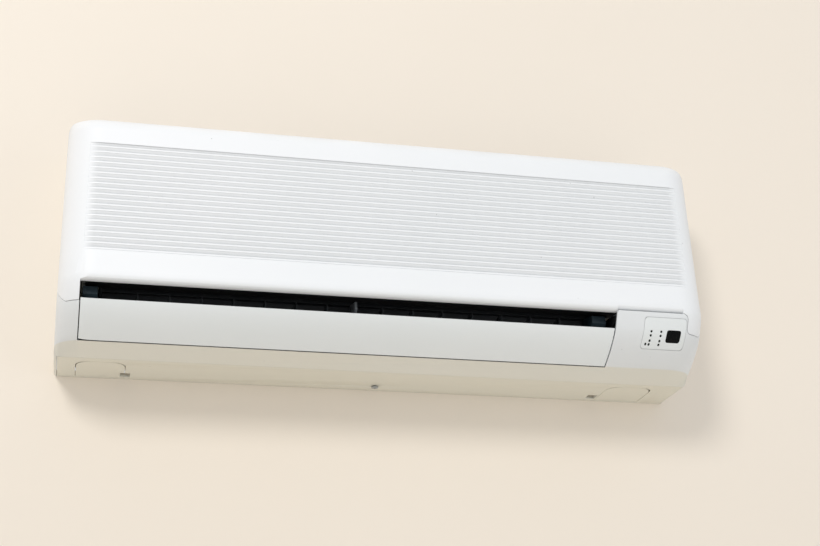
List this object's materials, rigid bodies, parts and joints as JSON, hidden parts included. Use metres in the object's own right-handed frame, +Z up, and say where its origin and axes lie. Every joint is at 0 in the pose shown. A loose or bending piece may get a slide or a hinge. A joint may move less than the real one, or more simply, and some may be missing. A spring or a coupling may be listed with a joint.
{
  "type": "mini split indoor unit",
  "caption": "Wall-mounted air conditioner indoor unit: louvred front panel, outlet flap over air-turning vanes, cross-flow fan behind a finned coil.",
  "frame": {"origin": "middle of the mounting plate's back face, on the wall, 150 mm above the unit's lower rear edge", "axes": "+X to the right seen from the room, +Y into the wall, +Z up"},
  "size_m": [0.8, 0.1743, 0.2941],
  "materials": {
    "shell_white": "satin white moulded plastic",
    "flap_white": "satin white moulded plastic",
    "window_black": "gloss, lets infrared through",
    "board_green": "lacquered circuit board",
    "black_plastic": "matt",
    "slate_plastic": "matt",
    "grey_plastic": "matt",
    "rubber": "matt",
    "zinc_steel": "galvanised sheet",
    "coil_fin": "thin stacked fins",
    "copper_tube": "drawn copper",
    "brass_nut": "turned brass",
    "filter_net": "fine net in a frame"
  },
  "bodies": {
    "root": {"front_casing": "shell_white", "rear_chassis": "shell_white", "release_cover_left": "shell_white", "release_cover_right": "shell_white", "display_cover": "flap_white", "receiver_window": "window_black", "display_board": "board_green", "outlet_duct": "black_plastic", "flap_bearing_left": "slate_plastic", "flap_bearing_right": "slate_plastic", "centre_post": "grey_plastic", "flap_motor": "grey_plastic", "fan_bearing": "rubber", "bearing_holder": "grey_plastic", "bottom_screw": "zinc_steel", "mounting_plate": "zinc_steel", "drain_pan": "grey_plastic", "drain_spigot": "grey_plastic", "drain_plug": "rubber", "evaporator_front": "coil_fin", "evaporator_rear": "coil_fin", "coil_end_left": "copper_tube", "coil_end_right": "copper_tube", "suction_pipe": "copper_tube", "liquid_pipe": "copper_tube", "suction_nut": "brass_nut", "liquid_nut": "brass_nut", "fan_motor": "zinc_steel", "motor_cover": "grey_plastic", "control_box": "grey_plastic", "control_board": "board_green", "control_box_cover": "grey_plastic", "terminal_block": "black_plastic", "room_sensor": "copper_tube", "switch_housing": "black_plastic", "air_filter_left": "filter_net", "air_filter_right": "filter_net"},
    "front_panel": {"front_panel": "shell_white"},
    "outlet_flap": {"outlet_flap": "flap_white"},
    "cross_flow_fan": {"cross_flow_fan": "grey_plastic"},
    "vane_link_left": {"vane_link_left": "grey_plastic"},
    "vane_link_right": {"vane_link_right": "grey_plastic"},
    "switch_button": {"switch_button": "shell_white"},
    "vane_01": {"vane_01": "black_plastic"},
    "vane_02": {"vane_02": "black_plastic"},
    "vane_03": {"vane_03": "black_plastic"},
    "vane_04": {"vane_04": "black_plastic"},
    "vane_05": {"vane_05": "black_plastic"},
    "vane_06": {"vane_06": "black_plastic"},
    "vane_07": {"vane_07": "black_plastic"},
    "vane_08": {"vane_08": "black_plastic"},
    "vane_09": {"vane_09": "black_plastic"},
    "vane_10": {"vane_10": "black_plastic"},
    "vane_11": {"vane_11": "black_plastic"},
    "vane_12": {"vane_12": "black_plastic"},
    "vane_13": {"vane_13": "black_plastic"},
    "vane_14": {"vane_14": "black_plastic"}
  },
  "joints": [
    {"name": "panel_hinge", "type": "hinge", "parent": "root", "child": "front_panel", "pos_m": [0, -0.112, 0.1393], "axis": [-1, 0, 0], "range_deg": [0, 65]},
    {"name": "flap_hinge", "type": "hinge", "parent": "root", "child": "outlet_flap", "pos_m": [0, -0.1254, -0.1157], "axis": [1, 0, 0], "range_deg": [0, 70]},
    {"name": "fan_spin", "type": "hinge", "parent": "root", "child": "cross_flow_fan", "pos_m": [0, -0.078, -0.042], "axis": [1, 0, 0], "continuous": true},
    {"name": "switch_press", "type": "slide", "parent": "root", "child": "switch_button", "axis": [0, 1, 0], "range_m": [0, 0.0015], "stiffness_N_per_m": 300},
    {"name": "link_left_slide", "type": "slide", "parent": "root", "child": "vane_link_left", "axis": [1, 0, 0], "range_m": [-0.0055, 0.0055]},
    {"name": "link_right_slide", "type": "slide", "parent": "root", "child": "vane_link_right", "axis": [1, 0, 0], "range_m": [-0.0055, 0.0055]},
    {"name": "vane_01_swing", "type": "hinge", "parent": "root", "child": "vane_01", "pos_m": [-0.3078, -0.101, -0.105], "axis": [0, 0, 1], "range_deg": [-32, 32]},
    {"name": "vane_02_swing", "type": "hinge", "parent": "root", "child": "vane_02", "pos_m": [-0.2704, -0.101, -0.105], "axis": [0, 0, 1], "range_deg": [-32, 32]},
    {"name": "vane_03_swing", "type": "hinge", "parent": "root", "child": "vane_03", "pos_m": [-0.233, -0.101, -0.105], "axis": [0, 0, 1], "range_deg": [-32, 32]},
    {"name": "vane_04_swing", "type": "hinge", "parent": "root", "child": "vane_04", "pos_m": [-0.1956, -0.101, -0.105], "axis": [0, 0, 1], "range_deg": [-32, 32]},
    {"name": "vane_05_swing", "type": "hinge", "parent": "root", "child": "vane_05", "pos_m": [-0.1582, -0.101, -0.105], "axis": [0, 0, 1], "range_deg": [-32, 32]},
    {"name": "vane_06_swing", "type": "hinge", "parent": "root", "child": "vane_06", "pos_m": [-0.1208, -0.101, -0.105], "axis": [0, 0, 1], "range_deg": [-32, 32]},
    {"name": "vane_07_swing", "type": "hinge", "parent": "root", "child": "vane_07", "pos_m": [-0.0834, -0.101, -0.105], "axis": [0, 0, 1], "range_deg": [-32, 32]},
    {"name": "vane_08_swing", "type": "hinge", "parent": "root", "child": "vane_08", "pos_m": [-0.0154, -0.101, -0.105], "axis": [0, 0, 1], "range_deg": [-32, 32]},
    {"name": "vane_09_swing", "type": "hinge", "parent": "root", "child": "vane_09", "pos_m": [0.022, -0.101, -0.105], "axis": [0, 0, 1], "range_deg": [-32, 32]},
    {"name": "vane_10_swing", "type": "hinge", "parent": "root", "child": "vane_10", "pos_m": [0.0594, -0.101, -0.105], "axis": [0, 0, 1], "range_deg": [-32, 32]},
    {"name": "vane_11_swing", "type": "hinge", "parent": "root", "child": "vane_11", "pos_m": [0.0968, -0.101, -0.105], "axis": [0, 0, 1], "range_deg": [-32, 32]},
    {"name": "vane_12_swing", "type": "hinge", "parent": "root", "child": "vane_12", "pos_m": [0.1342, -0.101, -0.105], "axis": [0, 0, 1], "range_deg": [-32, 32]},
    {"name": "vane_13_swing", "type": "hinge", "parent": "root", "child": "vane_13", "pos_m": [0.1716, -0.101, -0.105], "axis": [0, 0, 1], "range_deg": [-32, 32]},
    {"name": "vane_14_swing", "type": "hinge", "parent": "root", "child": "vane_14", "pos_m": [0.209, -0.101, -0.105], "axis": [0, 0, 1], "range_deg": [-32, 32]}
  ],
  "couplings": [
    {"joint": "vane_01_swing", "follows": "link_left_slide", "rad_per_m": -100},
    {"joint": "vane_02_swing", "follows": "link_left_slide", "rad_per_m": -100},
    {"joint": "vane_03_swing", "follows": "link_left_slide", "rad_per_m": -100},
    {"joint": "vane_04_swing", "follows": "link_left_slide", "rad_per_m": -100},
    {"joint": "vane_05_swing", "follows": "link_left_slide", "rad_per_m": -100},
    {"joint": "vane_06_swing", "follows": "link_left_slide", "rad_per_m": -100},
    {"joint": "vane_07_swing", "follows": "link_left_slide", "rad_per_m": -100},
    {"joint": "vane_08_swing", "follows": "link_right_slide", "rad_per_m": -100},
    {"joint": "vane_09_swing", "follows": "link_right_slide", "rad_per_m": -100},
    {"joint": "vane_10_swing", "follows": "link_right_slide", "rad_per_m": -100},
    {"joint": "vane_11_swing", "follows": "link_right_slide", "rad_per_m": -100},
    {"joint": "vane_12_swing", "follows": "link_right_slide", "rad_per_m": -100},
    {"joint": "vane_13_swing", "follows": "link_right_slide", "rad_per_m": -100},
    {"joint": "vane_14_swing", "follows": "link_right_slide", "rad_per_m": -100}
  ]
}
